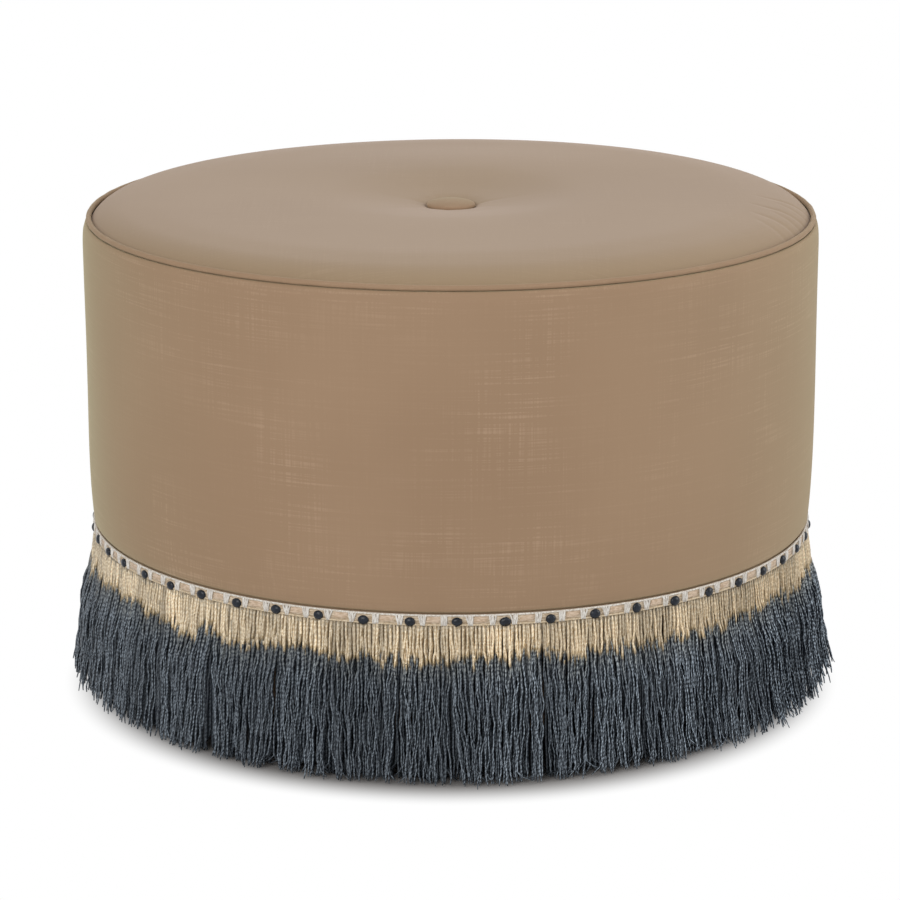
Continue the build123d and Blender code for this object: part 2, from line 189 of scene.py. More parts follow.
scene.world = bpy.data.worlds.new("studio")
scene.world.use_nodes = True
sky = scene.world.node_tree
shown = worked(sky, "MULTIPLY_ADD", seen_by_camera(sky), 1.0 - WORLD_LIGHT, WORLD_LIGHT)
sky.nodes["Background"].inputs["Color"].default_value = WHITE
sky.links.new(shown, sky.nodes["Background"].inputs["Strength"])
print("light from", len(bpy.data.lights), "softboxes and an even world")

# %% Floor
BLACK = (0.0, 0.0, 0.0, 1.0)
PAPER = (0.74, 0.74, 0.74, 1.0)
# Darker paper that the camera sees near the hem: painted shadow over the lamps' real shadow.
PAINTED_SHADOW_PAPER = (0.31, 0.295, 0.285, 1.0)
SHADOW_SHIFT = 0.040
SHADOW_REACH = (0.306, 0.362)
FLOOR_HALF_SIZE = 12.0

paper, paper_tree, paper_shader, paper_place = new_finish("studio_paper", 0.9, Specular_IOR_Level=0.0,
                                                          Emission_Color=WHITE)
patch = add(paper_tree, "Mapping", {"Vector": paper_place, "Location": (0, SHADOW_SHIFT, 0)}).outputs[0]
away = add(paper_tree, "VectorMath", {0: patch}, operation="LENGTH").outputs["Value"]
glow = spread(paper_tree, away, *SHADOW_REACH)
looked_at = seen_by_camera(paper_tree)
# Near the hem the camera sees the darker paper, a painted shadow; further out the glow turns the floor white.
painted_shadow_near_hem = blended(paper_tree, glow, PAINTED_SHADOW_PAPER, BLACK)
paper_tree.links.new(blended(paper_tree, looked_at, PAPER, painted_shadow_near_hem), paper_shader.inputs["Base Color"])
seen_glow = worked(paper_tree, "MULTIPLY", looked_at, glow)
paper_tree.links.new(seen_glow, paper_shader.inputs["Emission Strength"])
sheet_of_paper = bmesh.new()
bmesh.ops.create_grid(sheet_of_paper, x_segments=1, y_segments=1, size=FLOOR_HALF_SIZE)
floor_mesh = bpy.data.meshes.new("studio_floor")
sheet_of_paper.to_mesh(floor_mesh)
sheet_of_paper.free()
floor_mesh.materials.append(paper)
floor = bpy.data.objects.new("studio_floor", floor_mesh)
scene.collection.objects.link(floor)
print("floor", 2 * FLOOR_HALF_SIZE, "m wide")

# %% [markdown]
# ## The cloth
# The cover is a plain, closely woven cloth with a soft sheen. Seen face on it is a warm taupe; seen
# at a slant, on top of the seat and at the sides, it turns paler and greyer. That change belongs to
# the shader's sheen. The weave could be drawn thread by thread, but from here only its thick and thin
# threads show, so two noises are drawn out along the weave, one each way, and a patchy share of them
# is let through.

# %% Cloth finish
SIDE_TAUPES = ((0.345, 0.224, 0.138, 1.0), (0.430, 0.290, 0.190, 1.0), (0.300, 0.190, 0.114, 1.0))
SEAT_TAUPES = ((0.342, 0.245, 0.150, 1.0), (0.422, 0.307, 0.201, 1.0), (0.310, 0.219, 0.132, 1.0))
SIDE_SHEEN = (0.94, 1.0, 0.64, 1.0)
SEAT_SHEEN = (1.0, 0.85, 0.83, 1.0)
TRIM_SHEEN = (0.92, 0.97, 0.70, 1.0)


def cloth_finish(name, taupes, weft, warp, slub, sheen, sheen_tint):
    """Cloth of a middle, a pale and a deep taupe; weft and warp are the threads' scales along each axis."""
    middle, pale, deep = taupes
    material, tree, shader, place = new_finish(
        name, 0.72, Specular_IOR_Level=0.25, Sheen_Weight=sheen, Sheen_Roughness=0.5, Sheen_Tint=sheen_tint)
    across, along = grain(tree, place, weft), grain(tree, place, warp)
    patches = spread(tree, grain(tree, place, (9, 9, 9)), 0.40, 0.68, 0.15, 1.0)
    wefts, warps = worked(tree, "MULTIPLY", across, 0.6), worked(tree, "MULTIPLY", along, 0.4)
    threads = worked(tree, "ADD", wefts, warps)
    slubs = worked(tree, "MULTIPLY", spread(tree, threads, 0.50, 0.66), patches)
    clouds = spread(tree, grain(tree, place, (6, 6, 6)), 0.30, 0.70)
    ground = blended(tree, worked(tree, "MULTIPLY", clouds, 0.45), middle, deep)
    colour = blended(tree, worked(tree, "MULTIPLY", slubs, slub), ground, pale)
    tree.links.new(colour, shader.inputs["Base Color"])
    bumped(tree, shader, threads, 0.18, 0.4 * MM)
    return material


side_cloth = cloth_finish("side_cloth", SIDE_TAUPES, (14, 14, 620), (560, 560, 12), 0.80, 0.345, SIDE_SHEEN)
seat_cloth = cloth_finish("seat_cloth", SEAT_TAUPES, (14, 620, 14), (560, 12, 14), 0.25, 0.255, SEAT_SHEEN)
trim_cloth = cloth_finish("trim_cloth", SIDE_TAUPES, (60, 60, 500), (420, 420, 60), 0.40, 0.16, TRIM_SHEEN)
print("cloth finishes:", side_cloth.name, seat_cloth.name, trim_cloth.name)

# %% [markdown]
# ## Turned shapes
# Nearly everything on a round ottoman is a body of revolution, so one helper spins an outline of
# radius and height about the upright axis. A full spin meets itself, so its ends are merged, and the
# faces are then turned to look away from the middle of the body.

# %% Spin helper
BODY_MIDDLE = Vector((0, 0, 0.2))


def look_outwards(shape):
    """Turns all faces of a shape away from the middle of the ottoman."""
    bmesh.ops.recalc_face_normals(shape, faces=shape.faces)
    away = sum((face.calc_center_median() - BODY_MIDDLE).dot(face.normal) * face.calc_area()
               for face in shape.faces)
    if away < 0:
        bmesh.ops.reverse_faces(shape, faces=shape.faces)


def turned(outline, steps, closed=False):
    """Spins an outline of (radius, height) points once round the axis."""
    shape = bmesh.new()
    points = [shape.verts.new((radius, 0, height)) for radius, height in outline]
    followers = points[1:] + points[:1] if closed else points[1:]
    edges = [shape.edges.new(pair) for pair in zip(points, followers)]
    bmesh.ops.spin(shape, geom=points + edges, cent=(0, 0, 0), axis=(0, 0, 1), angle=math.tau, steps=steps,
                   use_merge=True)
    bmesh.ops.remove_doubles(shape, verts=shape.verts, dist=0.001 * MM)
    look_outwards(shape)
    return shape


print("spin helper ready")

# %% [markdown]
# ## From shape to piece
# A shape becomes a piece once it has a mesh, a finish, a body to ride on and the CAD nodes that it stands
# for. Cloth starts as a skin without thickness, which is easy to press and pull, and a modifier gives it
# its thickness on the inside at the end.

# %% Piece helpers


def finished(shape, name, material, slot, *stands_for):
    """Makes a shape a piece of the ottoman that takes the place of CAD nodes."""
    mesh = bpy.data.meshes.new(name)
    shape.to_mesh(mesh)
    shape.free()
    mesh.shade_smooth()
    mesh.materials.append(material)
    piece = bpy.data.objects.new(name, mesh)
    scene.collection.objects.link(piece)
    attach(piece, "root")
    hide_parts(*stands_for)
    print(name, "has", len(mesh.polygons), "faces and stands for", ", ".join(stands_for))
    return piece


def places(mesh):
    """The mesh's points as rows of x, y, z."""
    flat = np.empty(len(mesh.vertices) * 3)
    mesh.vertices.foreach_get("co", flat)
    return flat.reshape(-1, 3)


def move_to(mesh, points):
    """Puts the mesh's points in new places."""
    mesh.vertices.foreach_set("co", points.ravel())
    mesh.update()


def thicken(piece, thickness):
    """Gives a skin its thickness, on the inside."""
    wall = piece.modifiers.new("cloth_thickness", "SOLIDIFY")
    wall.thickness, wall.offset = thickness, -1.0


def smoothed(piece):
    """One level of subdivision, the same in the view and in the render."""
    rounder = piece.modifiers.new("smooth", "SUBSURF")
    rounder.levels = rounder.render_levels = 1


print("piece helpers ready")

# %% [markdown]
# ## The side
# One band of cloth is pulled round the padded drum. It rolls over a soft shoulder under the piping,
# falls almost straight, is drawn in a little where the braid is sewn on, and runs on behind the fringe
# to a hem that is stapled under the base. A cylinder with a bevel would look like a tin, so the whole
# outline is drawn and spun. A tight cloth is not perfectly even, so a few long, shallow waves move it by
# about a millimetre at most.

# %% Side outline
BODY_RADIUS = 336.0 * MM
SEAM_HEIGHT = 426.0 * MM
SHOULDER_DROP = 24.0 * MM
SHOULDER_FULLNESS = 0.7
SIDE_FLANGE_RADIUS = 331.7 * MM
SEAM_ALLOWANCE = 12.0 * MM
WAIST_DRAW = 3.6 * MM
WAIST_REACH = 34.0 * MM
BRAID_TOP = 146.5 * MM
TUCK_HEIGHT = 3.0 * MM
TRIM_RADIUS = 329.2 * MM
SKIRT_RADIUS = 327.0 * MM
HEM_ROUND = 5.0 * MM
HEM_BOTTOM = 40.6 * MM
HEM_INNER_RADIUS = 273.0 * MM
BAND_RINGS = 34


def curve(start, lead, approach, end, count):
    """Points on a Bezier curve between two outline points."""
    knots = [Vector((*point, 0)) for point in (start, lead, approach, end)]
    return [(point.x, point.y) for point in interpolate_bezier(*knots, count)]


def side_outline():
    """From the sewn flange over the shoulder, down the side and round under the base."""
    seam, shoulder = (SIDE_FLANGE_RADIUS, SEAM_HEIGHT), (BODY_RADIUS, SEAM_HEIGHT - SHOULDER_DROP)
    lead = (seam[0] + SHOULDER_FULLNESS * (shoulder[0] - seam[0]), seam[1])
    approach = (shoulder[0], shoulder[1] + SHOULDER_FULLNESS * SHOULDER_DROP)
    waist_foot = BRAID_TOP + TUCK_HEIGHT
    falls = np.linspace(shoulder[1], waist_foot, BAND_RINGS)[1:]
    band = [(BODY_RADIUS - WAIST_DRAW * math.exp((waist_foot - height) / WAIST_REACH), height)
            for height in falls]
    tuck = curve(band[-1], (band[-1][0], waist_foot - TUCK_HEIGHT / 2),
                 (TRIM_RADIUS, waist_foot - TUCK_HEIGHT / 2), (TRIM_RADIUS, BRAID_TOP), 5)
    skirt = [(TRIM_RADIUS + (SKIRT_RADIUS - TRIM_RADIUS) * share,
              BRAID_TOP + (HEM_BOTTOM + HEM_ROUND - BRAID_TOP) * share) for share in (0.25, 0.5, 0.75, 1.0)]
    turns = np.radians([18, 36, 54, 72, 90])
    hem = [(SKIRT_RADIUS - HEM_ROUND * (1 - math.cos(turn)), HEM_BOTTOM + HEM_ROUND * (1 - math.sin(turn)))
           for turn in turns]
    return [(seam[0], seam[1] - SEAM_ALLOWANCE), *curve(seam, lead, approach, shoulder, 12), *band, *tuck[1:],
            *skirt, *hem, (HEM_INNER_RADIUS, HEM_BOTTOM)]


print("side outline of", len(side_outline()), "points")

# %% Side cover
CLOTH = 1.2 * MM
ROUND_STEPS = 240
WAVE_COUNT = 7
WAVE_LEAN = 30.0
SIDE_WAVES = (3, 14)
SIDE_RIPPLE = 1.1 * MM
RIPPLE_FADE = 60.0 * MM
STILL_BELOW_SEAM = 6.0 * MM


def ripple(points, waves, depth, seed):
    """Shallow waves round the body: a number from -depth to depth for each point."""
    dice = np.random.default_rng(seed)
    angle, height = np.arctan2(points[:, 1], points[:, 0]), points[:, 2]
    total = np.zeros(len(points))
    for round_count in dice.integers(*waves, WAVE_COUNT):
        lean, start = dice.uniform(-WAVE_LEAN, WAVE_LEAN), dice.uniform(0, math.tau)
        total += np.sin(round_count * angle + lean * height + start)
    return depth * total / WAVE_COUNT


def push_out(mesh, amounts):
    """Moves points away from the upright axis."""
    points = places(mesh)
    reach = np.maximum(np.hypot(points[:, 0], points[:, 1]), MM)
    points[:, :2] *= (1 + amounts / reach)[:, None]
    move_to(mesh, points)


side_cover = finished(turned(side_outline(), ROUND_STEPS), "side_cover_cloth", side_cloth, "velvet",
                      "side_cover")
side_points = places(side_cover.data)
free_cloth = np.clip((side_points[:, 2] - BRAID_TOP) / RIPPLE_FADE, 0, 1)
free_cloth *= side_points[:, 2] < SEAM_HEIGHT - STILL_BELOW_SEAM
push_out(side_cover.data, free_cloth * ripple(side_points, SIDE_WAVES, SIDE_RIPPLE, seed=4))
thicken(side_cover, CLOTH)

# %% [markdown]
# ## The seat
# The seat is a round panel sewn to the piping at its rim and tied down by one button in the middle.
# Between these two the foam lifts it to a flat-topped dome. The panel is spun from the dome's outline,
# then simulated as cloth: rim and button hold it, and a little pressure from inside fills it out.
# How far a point may move is capped, so that the dome keeps its measured height.

# %% Seat outline
CROWN_RISE = 16.0 * MM
CROWN_FULLNESS = 25
PANEL_RADIUS = 327.6 * MM
PANEL_EDGE = 427.3 * MM
PANEL_FLANGE_RADIUS = 329.1 * MM
TUFT_RADIUS = 22.8 * MM
TUFT_RIM_RADIUS = 25.8 * MM
TUFT_DEPTH = 8.9 * MM
TUFT_SPREAD = 34.0 * MM
BUTTON_SINK = 3.6 * MM
TWINE_HOLE_RADIUS = 5.6 * MM
SEAT_RINGS = 42
SEAT_STEPS = 144


def crown(radius):
    """Height of the seat: a flat-topped dome that is drawn down to the button's rim."""
    dome = PANEL_EDGE + CROWN_RISE * (1 - (radius / PANEL_RADIUS) ** CROWN_FULLNESS)
    return dome - TUFT_DEPTH * math.exp(-(radius - TUFT_RIM_RADIUS) / TUFT_SPREAD)


def seat_outline():
    """From the twine's hole up the tuft, over the crown and down into the seam."""
    shares = [(1 - math.cos(math.pi * ring / SEAT_RINGS)) / 2 for ring in range(SEAT_RINGS + 1)]
    rings = [TUFT_RIM_RADIUS + (PANEL_RADIUS - TUFT_RIM_RADIUS) * share for share in shares]
    floor = crown(TUFT_RIM_RADIUS) - BUTTON_SINK
    tuft = [(TWINE_HOLE_RADIUS, floor), (TUFT_RADIUS, floor),
            (TUFT_RADIUS + 0.5 * MM, floor + 0.7 * BUTTON_SINK)]
    flange = [(PANEL_FLANGE_RADIUS, SEAM_HEIGHT - below) for below in (0.3 * MM, SEAM_ALLOWANCE)]
    return [*tuft, *[(radius, crown(radius)) for radius in rings], *flange]


seat = finished(turned(seat_outline(), SEAT_STEPS), "seat_cover_cloth", seat_cloth, "velvet", "top_cover",
                "top_batting")

# %% Fill the seat out by simulation
HELD_RIM = 300.0 * MM
HELD_TUFT = 40.0 * MM
SEAT_PRESSURE = 2.0
SEAT_FRAMES = 20
SEAT_CAP = 1.0 * MM


def filled_out(panel, held, pressure, frames, cap):
    """Runs the panel as cloth under pressure and moves its points by at most the cap."""
    start = places(panel.data)
    group = panel.vertex_groups.new(name="held")
    group.add([int(index) for index in np.flatnonzero(held)], 1.0, "REPLACE")
    cloth = panel.modifiers.new("fill", "CLOTH")
    cloth.settings.vertex_group_mass = group.name
    cloth.settings.use_pressure = True
    cloth.settings.uniform_pressure_force = pressure
    cloth.settings.effector_weights.gravity = 0.0
    cloth.point_cache.frame_start, cloth.point_cache.frame_end = 1, frames
    for number in range(1, frames + 1):
        scene.frame_set(number)
    settled = bpy.data.meshes.new_from_object(panel.evaluated_get(bpy.context.evaluated_depsgraph_get()))
    shift = places(settled) - start
    bpy.data.meshes.remove(settled)
    panel.modifiers.remove(cloth)
    scene.frame_set(1)
    length = np.linalg.norm(shift, axis=1, keepdims=True)
    move_to(panel.data, start + shift * np.minimum(1, cap / np.maximum(length, 1e-9)))
    return length.max()


seat_reach = np.hypot(*places(seat.data)[:, :2].T)
held_down = (seat_reach > HELD_RIM) | (seat_reach < HELD_TUFT)
lift = filled_out(seat, held_down, SEAT_PRESSURE, SEAT_FRAMES, SEAT_CAP)
print("seat cloth moved by up to", round(lift / MM, 1), "mm before the cap")

# %% [markdown]
# ## Gathers, tucks and uneven fill
# Where the panel is eased to the piping, a few short gathers run in from the seam on the right, and the
# button draws faint tucks from its rim. Both are too fine for the simulation, so they are pressed in
# afterwards, as narrow valleys that fade along their length. The mesh is first split under the gathers
# into smaller faces, and the new points are moved from the chords out to the circles they cut short.
# The filling also lies a little higher on the right and behind the button.

# %% Split the mesh under the gathers
GATHER_SECTOR = (math.radians(-33), math.radians(3))
GATHER_REACH = 250.0 * MM
GATHER_CUTS = 4


def split_gather_faces(mesh):
    """Splits the faces of the gathered stretch, and rounds the new points off to their circles."""
    shape = bmesh.new()
    shape.from_mesh(mesh)
    low, high = GATHER_SECTOR
    chosen = {point for point in shape.verts if point.co.xy.length > GATHER_REACH
              and low < math.atan2(point.co.y, point.co.x) < high and point.co.z > PANEL_EDGE - 1 * MM}
    edges = [edge for edge in shape.edges if chosen.issuperset(edge.verts)]
    bmesh.ops.subdivide_edges(shape, edges=edges, cuts=GATHER_CUTS, use_grid_fill=True)
    shape.to_mesh(mesh)
    shape.free()
    points = places(mesh)
    step = math.tau / SEAT_STEPS
    past_middle = np.arctan2(points[:, 1], points[:, 0]) % step - step / 2
    points[:, :2] *= (np.cos(past_middle) / math.cos(step / 2))[:, None]
    move_to(mesh, points)


split_gather_faces(seat.data)
print("seat split to", len(seat.data.polygons), "faces")

# %% Gathers and tucks
GATHERS = ((-6, 52, 0.9), (-10, 34, 0.6), (-14, 56, 1.0), (-17.5, 34, 0.7), (-21, 48, 1.0), (-25.5, 38, 0.7))
GATHER_DEPTH = 1.0 * MM
GATHER_WIDTH = 3.0 * MM
GATHER_BEND = math.radians(3.0)
TUCK_COUNT = 7
TUCK_DEPTH = 0.6 * MM
TUCK_START = 4.0 * MM
TUCK_REACH = 26.0 * MM


def polar(points):
    """Distance from the upright axis and angle round it."""
    return np.hypot(points[:, 0], points[:, 1]), np.arctan2(points[:, 1], points[:, 0])


def gathers(points):
    """Depth of the gathers, from the angle in degrees, the length in mm and the strength of each."""
    reach, angle = polar(points)
    total = np.zeros(len(points))
    for turn, length, strength in GATHERS:
        inward = np.clip((PANEL_RADIUS - reach) / (length * MM), 0, 1)
        bend = GATHER_BEND * inward**2
        across = reach * (angle - math.radians(turn) - bend)
        fade = np.sin(math.pi * (0.25 + 0.75 * inward)) ** 0.8
        total += strength * fade * np.exp(-((across / GATHER_WIDTH) ** 2))
    return GATHER_DEPTH * total


def button_tucks(points):
    """Faint valleys that run out from the button."""
    reach, angle = polar(points)
    past = np.maximum(reach - TUFT_RADIUS, 0)
    fade = np.clip(past / TUCK_START, 0, 1) * np.exp(-past / TUCK_REACH)
    uneven = 0.7 + 0.3 * np.sin(2 * angle + 0.8)
    valleys = np.clip(np.sin(TUCK_COUNT * angle + 0.6 * np.sin(3 * angle)), 0, 1) ** 2
    return TUCK_DEPTH * fade * uneven * valleys


seat_points = places(seat.data)
valley_depth = gathers(seat_points), button_tucks(seat_points)
print("gathers and tucks up to", [round(float(depth.max()) / MM, 1) for depth in valley_depth], "mm deep")

# %% Uneven fill
HIGHER_RIGHT = 3.0 * MM
HIGHER_BACK = 5.0 * MM
FREE_FROM = 60.0 * MM
FREE_RISE = 80.0 * MM
FREE_FALL = 70.0 * MM
RIGHT_REACH = 200.0 * MM
BACK_PLACE = 150.0 * MM
BACK_WIDTH = 150.0 * MM
BACK_LENGTH = 85.0 * MM


def uneven_fill(points):
    """The seat is filled a little higher on the right and behind the button; rim and button hold it down."""
    reach = polar(points)[0]
    free = np.clip((reach - FREE_FROM) / FREE_RISE, 0, 1) * np.clip((PANEL_RADIUS - reach) / FREE_FALL, 0, 1)
    rightward = np.sin(np.clip(points[:, 0] / RIGHT_REACH, -1, 1) * math.pi / 2)
    behind = np.exp(-((points[:, 0] / BACK_WIDTH) ** 2) - ((points[:, 1] - BACK_PLACE) / BACK_LENGTH) ** 2)
    return HIGHER_RIGHT * np.sin(free * math.pi / 2) * (1 + rightward) / 2 + HIGHER_BACK * behind


on_top = seat_points[:, 2] > PANEL_EDGE - 2 * MM
seat_points[:, 2] += on_top * (uneven_fill(seat_points) - valley_depth[0] - valley_depth[1])
move_to(seat.data, seat_points)
smoothed(seat)
thicken(seat, CLOTH)
print("seat top at", round(seat_points[:, 2].max() / MM, 1), "mm")

# %% [markdown]
# ## The piping
# The piping is a cord in a jacket of the same cloth, with a flat flange that is caught in the seam. Its
# outline is a circle whose lowest edge is drawn down into the flange, and the outline is spun. A bevelled
# curve would give the roll but not the flange, and both are one strip of cloth. A tight seam is never
# quite even, so the cord wanders by a few tenths of a millimetre.

# %% Piping
WELT_RADIUS = 2.5 * MM
WELT_RING_RADIUS = 330.4 * MM
WELT_HEIGHT = 428.8 * MM
WELT_SIDES = 16
PIPING_WAVES = (20, 90)
PIPING_WANDER = 0.4 * MM


def piping_outline():
    """A closed outline: the roll, drawn down into the flange."""
    turns = [math.tau * (side + 0.5) / WELT_SIDES - math.pi / 2 for side in range(WELT_SIDES)]
    ring = [(WELT_RING_RADIUS + WELT_RADIUS * math.cos(turn), WELT_HEIGHT + WELT_RADIUS * math.sin(turn))
            for turn in turns]
    flange_bottom = SEAM_HEIGHT - SEAM_ALLOWANCE
    return [*ring, (WELT_RING_RADIUS - CLOTH, flange_bottom), (WELT_RING_RADIUS + CLOTH, flange_bottom)]


piping = finished(turned(piping_outline(), 2 * ROUND_STEPS, closed=True), "piping_jacket", trim_cloth,
                  "velvet", "welt_cover")
piping_points = places(piping.data)
wander = ripple(piping_points, PIPING_WAVES, PIPING_WANDER, seed=9)
push_out(piping.data, (piping_points[:, 2] > SEAM_HEIGHT) * wander)

# %% [markdown]
# ## The button
# A covered button is a metal dome with a disc of cloth drawn tightly over it. A flattened ball would lack
# its edge, so an outline with a flat crown and a small rounded rim is spun. The cloth that is gathered
# under the rim leaves tiny tucks there.

# %% Button
BUTTON_RADIUS = 22.5 * MM
BUTTON_HEIGHT = 8.4 * MM
BUTTON_RIM = 2.6 * MM
BUTTON_LIP = 6.0 * MM
BUTTON_CLOTH = 1.0 * MM
BUTTON_RAISE = 1.2 * MM
BUTTON_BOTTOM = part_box("button_cover")[0].z + BUTTON_RAISE
BUTTON_STEPS = 56
RIM_TUCKS = 14
RIM_TUCK_DEPTH = 0.35 * MM


def button_outline():
    """From the lip under the rim, round the rim and up to the middle of the crown."""
    rim_centre = (BUTTON_RADIUS - BUTTON_RIM, BUTTON_BOTTOM + BUTTON_RIM)
    rim = [(rim_centre[0] + BUTTON_RIM * math.cos(turn), rim_centre[1] + BUTTON_RIM * math.sin(turn))
           for turn in np.radians(np.linspace(-90, 50, 9))]
    slope = (math.cos(math.radians(140)), math.sin(math.radians(140)))
    lead = (rim[-1][0] + slope[0] * BUTTON_RIM, rim[-1][1] + slope[1] * BUTTON_RIM)
    crest = (0.0, BUTTON_BOTTOM + BUTTON_HEIGHT)
    dome = curve(rim[-1], lead, (BUTTON_RADIUS / 2, crest[1]), crest, 9)
    return [(BUTTON_RADIUS - BUTTON_LIP, BUTTON_BOTTOM), *rim, *dome[1:]]


button = finished(turned(button_outline(), BUTTON_STEPS), "button_cloth", trim_cloth, "velvet",
                  "button_cover")
button_reach, button_angle = polar(places(button.data))
near_rim = np.clip(button_reach / BUTTON_RADIUS, 0, 1) ** 8
push_out(button.data, -RIM_TUCK_DEPTH * near_rim * np.clip(np.sin(RIM_TUCKS * button_angle), 0, 1))
smoothed(button)
thicken(button, BUTTON_CLOTH)

# %% [markdown]
# ## The braid
# The fringe hangs from a narrow ladder braid: a woven tape with a cord along each edge, and white yarns
# laid over it in short upright bars, two for each bead. Between the bars the tape shows as small woven
# panels, peach in the picture. At this size single threads hardly show, so all its finishes are one
# recipe: two colours mixed by a noise that is drawn out along the threads.

# %% Braid finishes
CREAM = (0.72, 0.60, 0.43, 1.0)
IVORY = (0.84, 0.81, 0.76, 1.0)
PEACH = (0.70, 0.55, 0.42, 1.0)
BEIGE = (0.70, 0.59, 0.45, 1.0)


def mottled_finish(name, pale, dark, scale, roughness, bump, depth=0.4 * MM, ends=(0.3, 0.7), detail=4.0,
                   **constants):
    """Two colours mixed by one noise, with a fine relief that matches it."""
    material, tree, shader, place = new_finish(name, roughness, **constants)
    mottle = grain(tree, place, scale, detail=detail)
    tree.links.new(blended(tree, spread(tree, mottle, *ends), dark, pale), shader.inputs["Base Color"])
    bumped(tree, shader, mottle, bump, depth)
    return material


def woven_finish(name, colour, shade, scale):
    """A small woven or twisted trim with uneven threads."""
    return mottled_finish(name, colour, shade, scale, 0.75, 0.5, ends=(0.35, 0.65), detail=3.0,
                          Specular_IOR_Level=0.3, Sheen_Weight=0.2)


tape_finish = woven_finish("braid_tape", BEIGE, (0.42, 0.31, 0.20, 1.0), (260, 260, 900))
panel_finish = woven_finish("braid_panel", PEACH, (0.50, 0.36, 0.24, 1.0), (260, 260, 1100))
bar_finish = woven_finish("braid_bar", IVORY, (0.58, 0.53, 0.47, 1.0), (900, 900, 300))
edge_finish = woven_finish("braid_edge", IVORY, (0.58, 0.51, 0.42, 1.0), (700, 700, 700))
hem_finish = woven_finish("braid_lower_edge", CREAM, (0.52, 0.40, 0.26, 1.0), (700, 700, 700))
print("braid finishes ready")

# %% Braid tape and edge cords
BRAID_BOTTOM = 136.5 * MM
TAPE_INNER_RADIUS = 331.2 * MM
TAPE_RADIUS = 332.2 * MM
CORD_RADIUS = 0.85 * MM
CORD_SIDES = 8


def ring_outline(radii, heights):
    """The four corners of a flat ring's cross-section."""
    (inner, outer), (low, high) = radii, heights
    return [(inner, low), (outer, low), (outer, high), (inner, high)]


tape_outline = ring_outline((TAPE_INNER_RADIUS, TAPE_RADIUS), (BRAID_BOTTOM, BRAID_TOP))
finished(turned(tape_outline, ROUND_STEPS, closed=True), "braid_tape", tape_finish, "braid", "gimp_braid")


def edge_cord(name, height, finish):
    """A thin cord along one edge of the tape."""
    turns = [math.tau * side / CORD_SIDES for side in range(CORD_SIDES)]
    outline = [(TAPE_RADIUS + CORD_RADIUS * math.cos(turn), height + CORD_RADIUS * math.sin(turn))
               for turn in turns]
    finished(turned(outline, 2 * ROUND_STEPS, closed=True), name, finish, "braid", "gimp_braid")


edge_cord("braid_upper_cord", BRAID_TOP - CORD_RADIUS, edge_finish)
edge_cord("braid_lower_cord", BRAID_BOTTOM + CORD_RADIUS, hem_finish)

# %% [markdown]
# ## Bars and panels of the braid
# A bar could be one flat block, but its four yarns catch the light one by one, so each is a thin tube that
# arches over the tape. One repeat is modelled, and a spin that copies instead of sweeping lays it round
# the body as often as there are beads. Then each bar slips and leans a little by seeded chance, because
# no two are laid alike.

# %% Helpers for what repeats round the body
BEAD_COUNT = 52
BEAD_TURN = math.radians(0.9 - 90.0)


def upright_tube(shape, sides, cuts, radius, low, high):
    """Adds an upright tube with some rings to a shape and gives its points."""
    first = len(shape.verts)
    bmesh.ops.create_cone(shape, cap_ends=True, segments=sides, radius1=radius, radius2=radius,
                          depth=high - low)
    made = shape.verts[:][first:]
    bmesh.ops.translate(shape, verts=made, vec=(0, 0, (low + high) / 2))
    upright = {edge for point in made for edge in point.link_edges
               if abs(edge.verts[0].co.z - edge.verts[1].co.z) > (high - low) / 2}
    bmesh.ops.subdivide_edges(shape, edges=list(upright), cuts=cuts, use_grid_fill=True)
    return shape.verts[:][first:]


def copies_round(shape, count):
    """Repeats all of a shape evenly round the axis, with its first copy where it is."""
    everything = shape.verts[:] + shape.edges[:] + shape.faces[:]
    bmesh.ops.spin(shape, geom=everything, cent=(0, 0, 0), axis=(0, 0, 1), steps=count - 1,
                   angle=math.tau * (count - 1) / count, use_duplicate=True)


def rotate_by(shape, angle):
    """Turns all of a shape about the upright axis."""
    bmesh.ops.rotate(shape, verts=shape.verts, cent=(0, 0, 0), matrix=Matrix.Rotation(angle, 3, "Z"))


print("helpers ready for", BEAD_COUNT, "repeats")

# %% Bars of the braid
BRAID_MIDDLE = (BRAID_TOP + BRAID_BOTTOM) / 2
BAR_OFFSET = 10.2 * MM
BAR_YARNS = (-2.6 * MM, -0.9 * MM, 0.9 * MM, 2.6 * MM)
BAR_YARN_RADIUS = 0.85 * MM
BAR_YARN_SIDES = 5
BAR_YARN_CUTS = 4
BAR_ENDS = (BRAID_BOTTOM + 0.4 * MM, BRAID_TOP - 0.2 * MM)
BAR_BULGE = 0.7 * MM
BAR_LEAN = 0.10
BAR_SLIP = 0.7 * MM


def braid_bars():
    """The two bars beside one bead, each of four yarns that arch over the tape."""
    shape = bmesh.new()
    half = (BRAID_TOP - BRAID_BOTTOM) / 2
    for side in (-BAR_OFFSET, BAR_OFFSET):
        for yarn in BAR_YARNS:
            for point in upright_tube(shape, BAR_YARN_SIDES, BAR_YARN_CUTS, BAR_YARN_RADIUS, *BAR_ENDS):
                share = (point.co.z - BRAID_MIDDLE) / half
                point.co.x += TAPE_RADIUS + BAR_BULGE * (1 - share**2)
                point.co.y += side + yarn * (0.8 + 0.25 * share)
    return shape


bars_shape = braid_bars()
rotate_by(bars_shape, BEAD_TURN)
copies_round(bars_shape, BEAD_COUNT)
bars = finished(bars_shape, "braid_bars", bar_finish, "braid", "gimp_braid")
bar_dice = np.random.default_rng(17)
bar_points = places(bars.data).reshape(2 * BEAD_COUNT * len(BAR_YARNS), -1, 3)
bar_x, bar_y, bar_z = np.moveaxis(bar_points, 2, 0)
lean = bar_dice.normal(0, BAR_LEAN, (len(bar_points), 1)) * (bar_z - BRAID_MIDDLE)
slip = np.repeat(bar_dice.normal(0, BAR_SLIP, (2 * BEAD_COUNT, 1)), len(BAR_YARNS), axis=0)
turn = (slip + lean) / TAPE_RADIUS
move_to(bars.data, np.stack([bar_x - turn * bar_y, bar_y + turn * bar_x, bar_z], axis=2))

